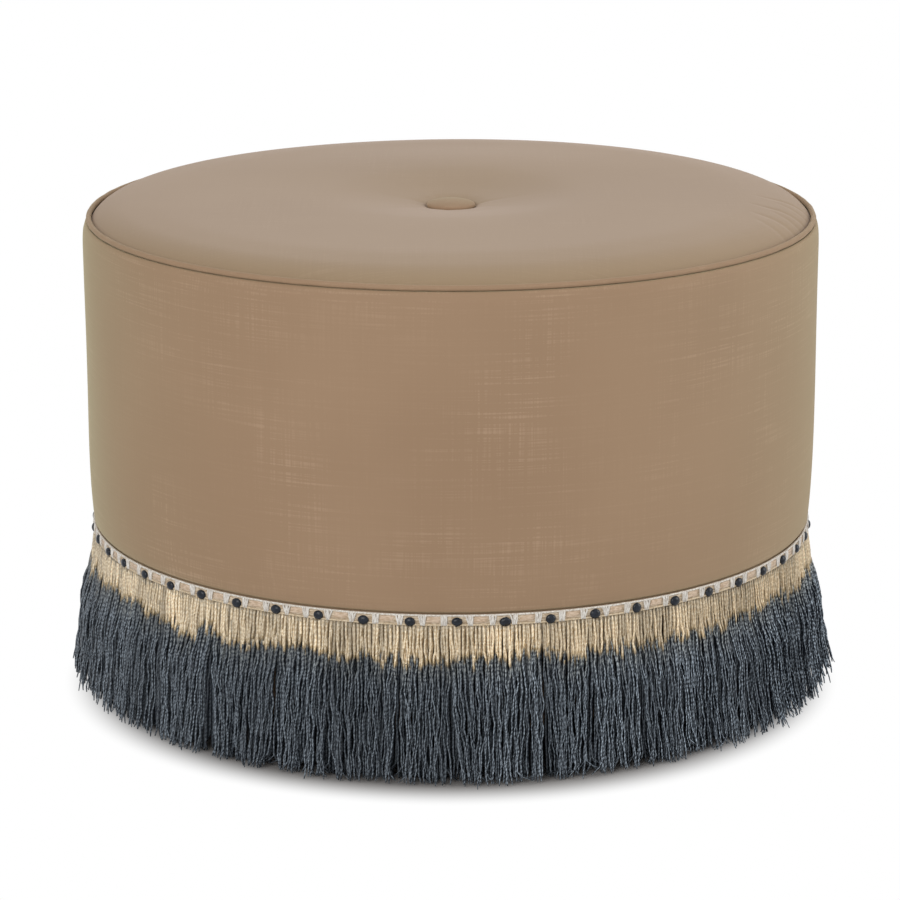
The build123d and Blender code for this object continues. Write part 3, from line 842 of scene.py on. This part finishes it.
# %% Panels of the braid
PANEL_SIZE = (0.9 * MM, 11.5 * MM, 4.8 * MM)
PANEL_BEVEL = 0.35 * MM
PANEL_SLANT = 0.45
PANEL_HEIGHT = BRAID_MIDDLE + 0.6 * MM

panel_shape = bmesh.new()
bmesh.ops.create_cube(panel_shape, size=1.0)
bmesh.ops.scale(panel_shape, verts=panel_shape.verts, vec=PANEL_SIZE)
bmesh.ops.bevel(panel_shape, geom=panel_shape.edges[:], offset=PANEL_BEVEL, segments=2, profile=0.5,
                affect="EDGES", material=-1)
for point in panel_shape.verts:
    point.co.y += PANEL_SLANT * point.co.z
bmesh.ops.translate(panel_shape, verts=panel_shape.verts, vec=(TAPE_RADIUS, 0, PANEL_HEIGHT))
rotate_by(panel_shape, math.pi / BEAD_COUNT)
rotate_by(panel_shape, BEAD_TURN)
copies_round(panel_shape, BEAD_COUNT)
finished(panel_shape, "braid_panels", panel_finish, "braid", "gimp_braid")

# %% [markdown]
# ## The beads
# Small dark beads are sewn on the braid, one between each pair of bars. They are a little wider than
# high, slightly uneven, and sit low on the tape. One flattened ball is copied round, then each copy is
# stretched and shifted a little by seeded chance, as beads from one bag differ.

# %% Beads
BEAD_DARK = (0.006, 0.008, 0.012, 1.0)
BEAD_BLUE = (0.018, 0.023, 0.034, 1.0)
BEAD_HEIGHT = 140.0 * MM
BEAD_SEAT_RADIUS = 333.0 * MM
BEAD_HALF_SIZES = (2.5 * MM, 4.7 * MM, 4.15 * MM)
BEAD_STRETCH = 0.05
BEAD_DRIFT = 0.35 * MM

bead_finish = mottled_finish("dark_bead", BEAD_BLUE, BEAD_DARK, (420, 420, 420), 0.20, 0.25, depth=0.5 * MM,
                             ends=(0.35, 0.7), detail=3.0, Specular_IOR_Level=0.25)

bead_shape = bmesh.new()
bmesh.ops.create_uvsphere(bead_shape, u_segments=16, v_segments=10, radius=1.0)
bmesh.ops.scale(bead_shape, verts=bead_shape.verts, vec=BEAD_HALF_SIZES)
bmesh.ops.translate(bead_shape, verts=bead_shape.verts, vec=(BEAD_SEAT_RADIUS, 0, BEAD_HEIGHT))
rotate_by(bead_shape, BEAD_TURN)
copies_round(bead_shape, BEAD_COUNT)
beads = finished(bead_shape, "dark_beads", bead_finish, "bead", "beads")

bead_dice = np.random.default_rng(21)
bead_points = places(beads.data).reshape(BEAD_COUNT, -1, 3)
bead_middles = bead_points.mean(axis=1, keepdims=True)
stretch = 1 + bead_dice.normal(0, BEAD_STRETCH, (BEAD_COUNT, 1, 3))
drift = np.zeros((BEAD_COUNT, 1, 3))
drift[:, :, 2] = bead_dice.normal(0, BEAD_DRIFT, (BEAD_COUNT, 1))
move_to(beads.data, bead_middles + (bead_points - bead_middles) * stretch + drift)

# %% [markdown]
# ## The fringe
# About two and a half thousand twisted yarns hang from the braid in four layers. One yarn is a three-sided
# tube with rings, and a copying spin makes a straight ring of them. Then every yarn is combed by its own
# seeded numbers: it leans out with its layer, is drawn to its bunch, wavers, and ends a little higher or
# lower than its neighbours. The layer at the back hangs nearly straight and closes the gaps that the
# others leave. Hair strands would be lighter to make, but they aren't a mesh, and a piece has to be one.

# %% [markdown]
# ## The yarn's finish
# A dip-dyed yarn is cream above and ink blue below, and each yarn drew the dye up to a height of its own.
# One colour ramp for all would look printed, so every yarn carries its dye line and its tone as
# attributes, and the shader compares a point's height with the line. The tone is the yarn's own tone times
# a painted shade that darkens the layers further behind. The twist follows the yarn's own UV map; along
# its plies and on the outer crest of each yarn a painted highlight lightens the colour, and the sides of
# each yarn get painted shade. The ink's light flecks are painted paler towards the right: painted light on
# that side.

# %% Yarn finish
CREAM_DULL = (0.46, 0.33, 0.16, 1.0)
# The cream's shaded and lit copies: painted shade on the sides of each yarn, painted highlight on its crest
# and plies.
CREAM_PAINTED_SHADE = (0.63, 0.49, 0.31, 1.0)
CREAM_PAINTED_HIGHLIGHT = (0.93, 0.80, 0.60, 1.0)
INK = (0.023, 0.030, 0.042, 1.0)
# Light colour of the ink's flecks: light fibres and painted highlight on the crest and plies of each yarn.
INK_FIBRES_AND_PAINTED_HIGHLIGHT = (0.225, 0.265, 0.305, 1.0)
INK_THIN = (0.235, 0.245, 0.230, 1.0)
YARN_TURNS = 34.0
DYE_SOFTNESS = 6.0 * MM
# Painted light on the right: the ink's light flecks are painted up to this much paler there, changing over
# this span of x.
PAINTED_LIGHT_RIGHT = 2.1
PAINTED_LIGHT_BETWEEN = (-0.05, 0.30)


def yarn_finish():
    """Twisted yarn, cream above its own dye line and ink blue below it."""
    material, tree, shader, place = new_finish("dip_dyed_yarn", 0.45, Specular_IOR_Level=0.45)
    sideways, _, height = add(tree, "SeparateXYZ", {0: place}).outputs
    tone_and_painted_shade = add(tree, "Attribute", attribute_name="tone_and_painted_shade").outputs["Fac"]
    line = add(tree, "Attribute", attribute_name="dye_line").outputs["Fac"]
    around = add(tree, "SeparateXYZ", {0: add(tree, "UVMap", uv_map="yarn").outputs[0]}).outputs
    slack = worked(tree, "MULTIPLY", grain(tree, place, (90, 90, 60)), 3.0)
    twist = worked(tree, "ADD", worked(tree, "MULTIPLY_ADD", around[1], YARN_TURNS, around[0]), slack)
    plies = worked(tree, "SINE", worked(tree, "MULTIPLY", twist, math.tau))
    ply = worked(tree, "MULTIPLY_ADD", plies, 0.5, 0.5)
    fibres = grain(tree, place, (700, 700, 480), detail=4.0, roughness=0.7)
    # Painted highlight: the outer crest of each yarn and the plies of the twist are painted lighter; the
    # fibre noise is the yarn's own flecking.
    round_yarn = worked(tree, "COSINE", worked(tree, "MULTIPLY", around[0], math.tau))
    crest = worked(tree, "MULTIPLY_ADD", round_yarn, 0.5, 0.5)
    fibres_and_painted_highlight = worked(tree, "MULTIPLY_ADD", ply, 0.16, worked(tree, "MULTIPLY_ADD", crest, 0.24, fibres))
    fleck_and_painted_highlight = spread(tree, fibres_and_painted_highlight, 0.66, 0.98)
    wander = worked(tree, "MULTIPLY_ADD", fibres, 8 * MM, -4 * MM)
    above = worked(tree, "ADD", worked(tree, "SUBTRACT", height, line), wander)
    undyed = spread(tree, above, -DYE_SOFTNESS, DYE_SOFTNESS)
    # Cream, with painted shade on the sides of each yarn and painted highlight on its crest and plies.
    cream = blended(tree, fleck_and_painted_highlight, CREAM_PAINTED_SHADE, CREAM_PAINTED_HIGHLIGHT)
    # The ink's light fleck colour: painted highlight and light fibres far below the line, the thinly dyed
    # grey close to it.
    painted_highlight_and_thin_dye = blended(tree, spread(tree, above, -26 * MM, -2 * MM, 0.0, 0.8), INK_FIBRES_AND_PAINTED_HIGHLIGHT, INK_THIN)
    # Painted light: the ink's light flecks get paler towards the right of the ottoman.
    rightward = spread(tree, sideways, *PAINTED_LIGHT_BETWEEN, 1.0, PAINTED_LIGHT_RIGHT)
    tone_and_painted_light = worked(tree, "MULTIPLY", worked(tree, "POWER", tone_and_painted_shade, 1.2), rightward)
    toned_painted_highlight_and_thin_dye = add(tree, "VectorMath", {0: painted_highlight_and_thin_dye, 3: tone_and_painted_light}, operation="SCALE").outputs[0]
    ink = blended(tree, fleck_and_painted_highlight, INK, toned_painted_highlight_and_thin_dye)
    edge = blended(tree, spread(tree, undyed, 0.35, 1.0), CREAM_DULL, cream)
    # The tone carries the layer's painted shade, so the cream of the layers behind is painted darker.
    cream_tone_and_painted_shade = worked(tree, "POWER", tone_and_painted_shade, 1.05)
    bright = add(tree, "VectorMath", {0: edge, 3: cream_tone_and_painted_shade}, operation="SCALE").outputs[0]
    colour = blended(tree, spread(tree, undyed, 0.0, 0.7), ink, bright)
    tree.links.new(colour, shader.inputs["Base Color"])
    bumped(tree, shader, fibres_and_painted_highlight, 0.7, 0.6 * MM)
    return material


yarn = yarn_finish()
print("yarn finish with", len(yarn.node_tree.nodes), "nodes")

# %% [markdown]
# ## Bunches and dye line
# Yarns that hang close together cling in uneven bunches, and a bunch takes in yarns of every layer. So the
# bunches are drawn once by seeded chance, before any layer, and all layers read them: where a bunch is,
# how it leans and flares, and how pale and how deeply dyed it is.

# %% Bunches of yarn, shared by all layers
FRINGE_TOP = 136.9 * MM
YARN_TOP_RADIUS = 331.2 * MM
FALL_HEIGHTS = np.array([0, 12, 27, 46, 69, 82, 92, 104, 115, 130, 137]) * MM
FALL_RADII = np.array([353, 350.8, 348.2, 345.6, 343.8, 340.8, 337.2, 334, 332.5, 331.6, 331.2]) * MM
FLARE_RIGHT = 0.12
BUNCH_COUNT = 112
DYE_HEIGHT = 107.5 * MM

bunch_dice = np.random.default_rng(5)
bunch_ends = np.cumsum(bunch_dice.uniform(0.5, 1.5, BUNCH_COUNT))
bunch_ends *= math.tau / bunch_ends[-1]
bunch_middles = bunch_ends - np.diff(bunch_ends, prepend=0) / 2
bunch_lean = bunch_dice.normal(0, 3.4 * MM, BUNCH_COUNT)
bunch_flare = bunch_dice.normal(1.0, 0.12, BUNCH_COUNT)
bunch_lift = np.abs(bunch_dice.normal(0, 1.3 * MM, BUNCH_COUNT))
bunch_tone = bunch_dice.normal(1.0, 0.10, BUNCH_COUNT)
bunch_dye = bunch_dice.normal(0, 1.8 * MM, BUNCH_COUNT)


def dye_height(angle):
    """The dye line round the hem, which rose and sank as the fringe was dipped."""
    waves = 1.6 * np.sin(9 * angle + 0.4) + 1.4 * np.sin(23 * angle + 2.0) + 1.0 * np.sin(41 * angle)
    return DYE_HEIGHT + waves * MM


print(BUNCH_COUNT, "bunches, the widest", round(np.diff(bunch_ends).max() * 350), "mm")

# %% A ring of straight yarns
YARN_SIDES = 3
YARN_CUTS = 23


def straight_yarns(count, radius):
    """A ring of straight yarns with a UV map: u round each yarn, v down its length."""
    shape = bmesh.new()
    unrolled = shape.loops.layers.uv.new("yarn")
    upright_tube(shape, YARN_SIDES, YARN_CUTS, radius, 0.0, FRINGE_TOP)
    for face in shape.faces:
        turns = [math.atan2(corner.vert.co.y, corner.vert.co.x) / math.tau % 1.0 for corner in face.loops]
        wraps = max(turns) - min(turns) > 0.6
        for corner, turn in zip(face.loops, turns):
            corner[unrolled].uv = (turn + (wraps and turn < 0.5), 1 - corner.vert.co.z / FRINGE_TOP)
    bmesh.ops.translate(shape, verts=shape.verts, vec=(YARN_TOP_RADIUS, 0, 0))
    copies_round(shape, count)
    return shape


print("a yarn has", YARN_SIDES, "sides and", YARN_CUTS + 2, "rings")

# %% Comb the yarns
FREE_STRAY = 2.4 * MM
LAYER_STEP = 2.4 * MM
FLOOR_GAP = 0.6 * MM
TIP_SPREAD = 1.3 * MM
FLARE_SPREAD = 0.07
CURLED_SHARE = 0.30
CURL_REACH = 9.0 * MM
CURL_START = 0.90
CURL_LENGTH = 0.10
BODY_PLACES = (0, 0.04, 0.25, 0.45, 0.97, 1)
TONE_SPREAD = 0.15
DYE_SPREAD = 3.4 * MM


def combed(points, flare, pull, stray, slim, seed):
    """Bends straight yarns, one row of points each, and gives their new places, tones and dye lines."""
    dice = np.random.default_rng(seed)
    count = len(points)

    def draw(reach):
        return dice.normal(0, reach, (count, 1))

    def wave(slow, fast):
        rounds, start = dice.uniform(slow, fast, (count, 1)), dice.uniform(0, 1, (count, 1))
        return np.sin(math.tau * (down * rounds + start))

    centre = points.mean(axis=1)
    angle = np.arctan2(centre[:, 1], centre[:, 0])[:, None] % math.tau
    out = points[:, :, 0] * np.cos(angle) + points[:, :, 1] * np.sin(angle) - YARN_TOP_RADIUS
    across = points[:, :, 1] * np.cos(angle) - points[:, :, 0] * np.sin(angle)
    down = 1 - points[:, :, 2] / FRINGE_TOP
    own_bunch = np.searchsorted(bunch_ends, angle[:, 0]).clip(0, BUNCH_COUNT - 1)

    def shared(values):
        return values[own_bunch][:, None]

    tip = FLOOR_GAP + 0.6 * shared(bunch_lift) + np.abs(draw(TIP_SPREAD))
    height = FRINGE_TOP - (FRINGE_TOP - tip) * down
    fall = np.interp(height, FALL_HEIGHTS, FALL_RADII) - YARN_TOP_RADIUS
    loose = np.clip(down * 5, 0, 1) * min(1, stray / FREE_STRAY)
    fall = fall * (1 + FLARE_RIGHT * np.cos(angle) * down**3)
    reach = YARN_TOP_RADIUS + fall * (flare * shared(bunch_flare) + draw(FLARE_SPREAD))
    reach = reach + loose * (0.8 * MM * wave(1.0, 2.2) + 0.45 * MM * wave(5.0, 8.0))
    reach = reach + (flare - 0.5) * LAYER_STEP * np.clip(down * 12, 0, 1)
    drawn = pull * (shared(bunch_middles) - angle) * reach * down**1.4
    sway = loose * shared(bunch_lean) * down**1.5 + draw(stray) * down**1.6
    sway = sway + loose * (1.1 * MM * wave(0.7, 1.7) + 0.7 * MM * wave(3.0, 5.0) + 0.45 * MM * wave(6.0, 9.0))
    curl = np.where(dice.random((count, 1)) < CURLED_SHARE, draw(CURL_REACH), 0)
    curl = curl * np.clip((down - CURL_START) / CURL_LENGTH, 0, 1) ** 2
    body = np.interp(down, BODY_PLACES, [0.85, 1.05, 1.12, slim, slim, 0.7 * slim])
    turn = angle + draw(0.35 * MM) / YARN_TOP_RADIUS + (drawn + sway + curl + across * body) / reach
    reach = np.maximum(reach, YARN_TOP_RADIUS - 0.5 * MM) + out * body
    height = np.maximum(height + np.abs(curl) * 0.15, FLOOR_GAP)
    places_now = np.stack([reach * np.cos(turn), reach * np.sin(turn), height], axis=2)
    tones = shared(bunch_tone)[:, 0] + dice.normal(0, TONE_SPREAD, count)
    lines = dye_height(angle[:, 0]) + bunch_dye[own_bunch] + dice.normal(0, DYE_SPREAD, count)
    return places_now, tones, lines


print("comb ready; about", round(100 * CURLED_SHARE), "% of the yarns curl at their ends")

# %% Four layers and a few strays


def fringe_layer(name, count, radius, flare, pull, stray, slim, shade, seed):
    """One layer of the fringe; its dyed ends are slimmer, and shade is a painted shade that darkens the
    layers that lie behind.
    """
    layer = finished(straight_yarns(count, radius), name, yarn, "yarn", "fringe")
    rows = places(layer.data).reshape(count, -1, 3)
    bent, tones, lines = combed(rows, flare, pull, stray, slim, seed)
    move_to(layer.data, bent.reshape(-1, 3))
    # The stored tone is the yarn's own tone times its layer's painted shade.
    for label, values in (("tone_and_painted_shade", tones * shade), ("dye_line", lines)):
        store = layer.data.attributes.new(label, "FLOAT", "POINT")
        store.data.foreach_set("value", np.repeat(values, rows.shape[1]).astype(np.float32))


# Each layer's shade is painted shade: the further back the layer lies, the darker its yarns are painted.
fringe_layer("fringe_back", count=780, radius=1.70 * MM, flare=0.28, pull=0.0, stray=0.5 * MM, slim=1.0,
             shade=0.50, seed=31)
fringe_layer("fringe_inner", count=600, radius=1.40 * MM, flare=0.54, pull=0.08, stray=1.4 * MM, slim=0.9,
             shade=0.68, seed=32)
fringe_layer("fringe_middle", count=600, radius=1.35 * MM, flare=0.76, pull=0.16, stray=2.2 * MM, slim=0.75,
             shade=0.86, seed=33)
fringe_layer("fringe_front", count=600, radius=1.30 * MM, flare=0.98, pull=0.26, stray=2.8 * MM, slim=0.66,
             shade=1.05, seed=34)
fringe_layer("fringe_strays", count=60, radius=0.75 * MM, flare=1.12, pull=0.10, stray=8.0 * MM, slim=0.9,
             shade=1.1, seed=35)

# %% Heading tape behind the braid
HEADING_RADII = (329.5 * MM, 331.1 * MM)
HEADING_HEIGHTS = (128.5 * MM, 144.9 * MM)

heading_outline = ring_outline(HEADING_RADII, HEADING_HEIGHTS)
finished(turned(heading_outline, ROUND_STEPS, closed=True), "fringe_heading", tape_finish, "yarn", "fringe")

# %% [markdown]
# ## The dust cover
# A disc of thin black cloth is stapled under the base. It lies flat on the boards, steps over the hem and
# sags a little over the opening in the middle. It could be simulated, but a cloth that is stapled all
# round hardly moves, so its sag is drawn in the outline. Nobody sees it in the picture, but the part is
# turned over too.

# %% Dust cover finish
dust_finish, dust_tree, dust_shader, dust_place = new_finish("black_dust_cloth", 0.9, Specular_IOR_Level=0.2)
fleece = grain(dust_tree, dust_place, (700, 700, 700), detail=4.0)
dust_tree.links.new(blended(dust_tree, fleece, (0.006, 0.006, 0.007, 1.0), (0.035, 0.035, 0.037, 1.0)),
                    dust_shader.inputs["Base Color"])
bumped(dust_tree, dust_shader, fleece, 0.4, 0.3 * MM)
print("dust cover finish ready")

# %% Dust cover
DUST_RADIUS = 307.0 * MM
DUST_SAG = 3.0 * MM
DUST_CLOTH = 0.8 * MM
DUST_STEPS = 96
BASE_OPENING = 150.0 * MM
DUST_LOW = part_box("dust_cover")[0].z
DUST_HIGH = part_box("dust_cover")[1].z
FLAT_BOTTOM = DUST_HIGH - DUST_CLOTH
FLAT_RADII = (200.0 * MM, 268.7 * MM)
HEM_RADII = (272.7 * MM, 290.0 * MM, DUST_RADIUS)

sagging = [(BASE_OPENING * share, FLAT_BOTTOM - DUST_SAG * (1 - share**2) ** 2)
           for share in np.linspace(0, 1, 12)]
dust_outline = [*sagging, *[(radius, FLAT_BOTTOM) for radius in FLAT_RADII],
                *[(radius, DUST_LOW) for radius in HEM_RADII]]
dust_cover = finished(turned(dust_outline, DUST_STEPS), "dust_cover_cloth", dust_finish, "cambric",
                      "dust_cover")
thicken(dust_cover, DUST_CLOTH)

# %% [markdown]
# ## Finishes of the frame
# The boards, posts, feet and fixings keep their CAD shapes and get finishes of their own: layered
# plywood, sawn softwood, stained feet, bright steel, foam, wadding, cord and nylon. Pictures of wood
# would stretch over the boards, so noise that is drawn out along the grain stands for the rings. A table
# ties each of these slots of the record to its finish.

# %% Wood finishes


def wood_finish(name, pale, dark, scale, roughness=0.7):
    """Wood whose rings are noise drawn out along the grain."""
    material, tree, shader, place = new_finish(name, roughness, Specular_IOR_Level=0.3)
    rings = grain(tree, place, scale, detail=4.0, roughness=0.6)
    pores = grain(tree, place, [6 * size for size in scale])
    figure = worked(tree, "MULTIPLY_ADD", pores, 0.35, worked(tree, "MULTIPLY", rings, 0.65))
    tree.links.new(blended(tree, spread(tree, figure, 0.35, 0.65), dark, pale), shader.inputs["Base Color"])
    bumped(tree, shader, figure, 0.2, 0.3 * MM)
    return material


plywood = wood_finish("plywood", (0.56, 0.41, 0.25, 1.0), (0.40, 0.27, 0.15, 1.0), (12, 60, 900))
softwood = wood_finish("softwood", (0.66, 0.50, 0.31, 1.0), (0.50, 0.34, 0.18, 1.0), (120, 120, 6))
stained_wood = wood_finish("stained_wood", (0.085, 0.052, 0.034, 1.0), (0.040, 0.024, 0.016, 1.0),
                           (140, 140, 14), roughness=0.4)
print("wood finishes ready")

# %% Finishes of steel, foam, wadding, cord and nylon
steel = mottled_finish("bright_steel", (0.58, 0.58, 0.59, 1), (0.44, 0.44, 0.45, 1), (300, 300, 2000),
                       roughness=0.35, bump=0.05, Metallic=1.0)
foam = mottled_finish("seat_foam", (0.84, 0.78, 0.58, 1), (0.66, 0.58, 0.38, 1), (900, 900, 900),
                      roughness=0.95, bump=0.6)
wadding = mottled_finish("wadding", (0.88, 0.88, 0.86, 1), (0.72, 0.72, 0.70, 1), (160, 160, 700),
                         roughness=1.0, bump=0.6)
cotton = mottled_finish("cotton_cord", (0.82, 0.78, 0.69, 1), (0.58, 0.53, 0.44, 1), (800, 800, 800),
                        roughness=0.9, bump=0.5)
nylon = mottled_finish("black_nylon", (0.045, 0.045, 0.045, 1), (0.022, 0.022, 0.022, 1), (500, 500, 500),
                       roughness=0.45, bump=0.1)
print("finishes of steel, foam, wadding, cord and nylon ready")

# %% Tie the finishes to the CAD nodes
finishes = {"plywood": plywood, "timber": softwood, "hardwood": stained_wood, "steel": steel, "foam": foam,
            "wadding": wadding, "cotton_cord": cotton, "nylon": nylon}
for part in frame["record"]["subparts"]:
    if part["material_slot"] in finishes:
        node = frame["nodes"][part["node"]]
        node.data.materials.clear()
        node.data.materials.append(finishes[part["material_slot"]])
print(sum(not node.hide_render for node in frame["nodes"].values()), "CAD nodes keep their shape")
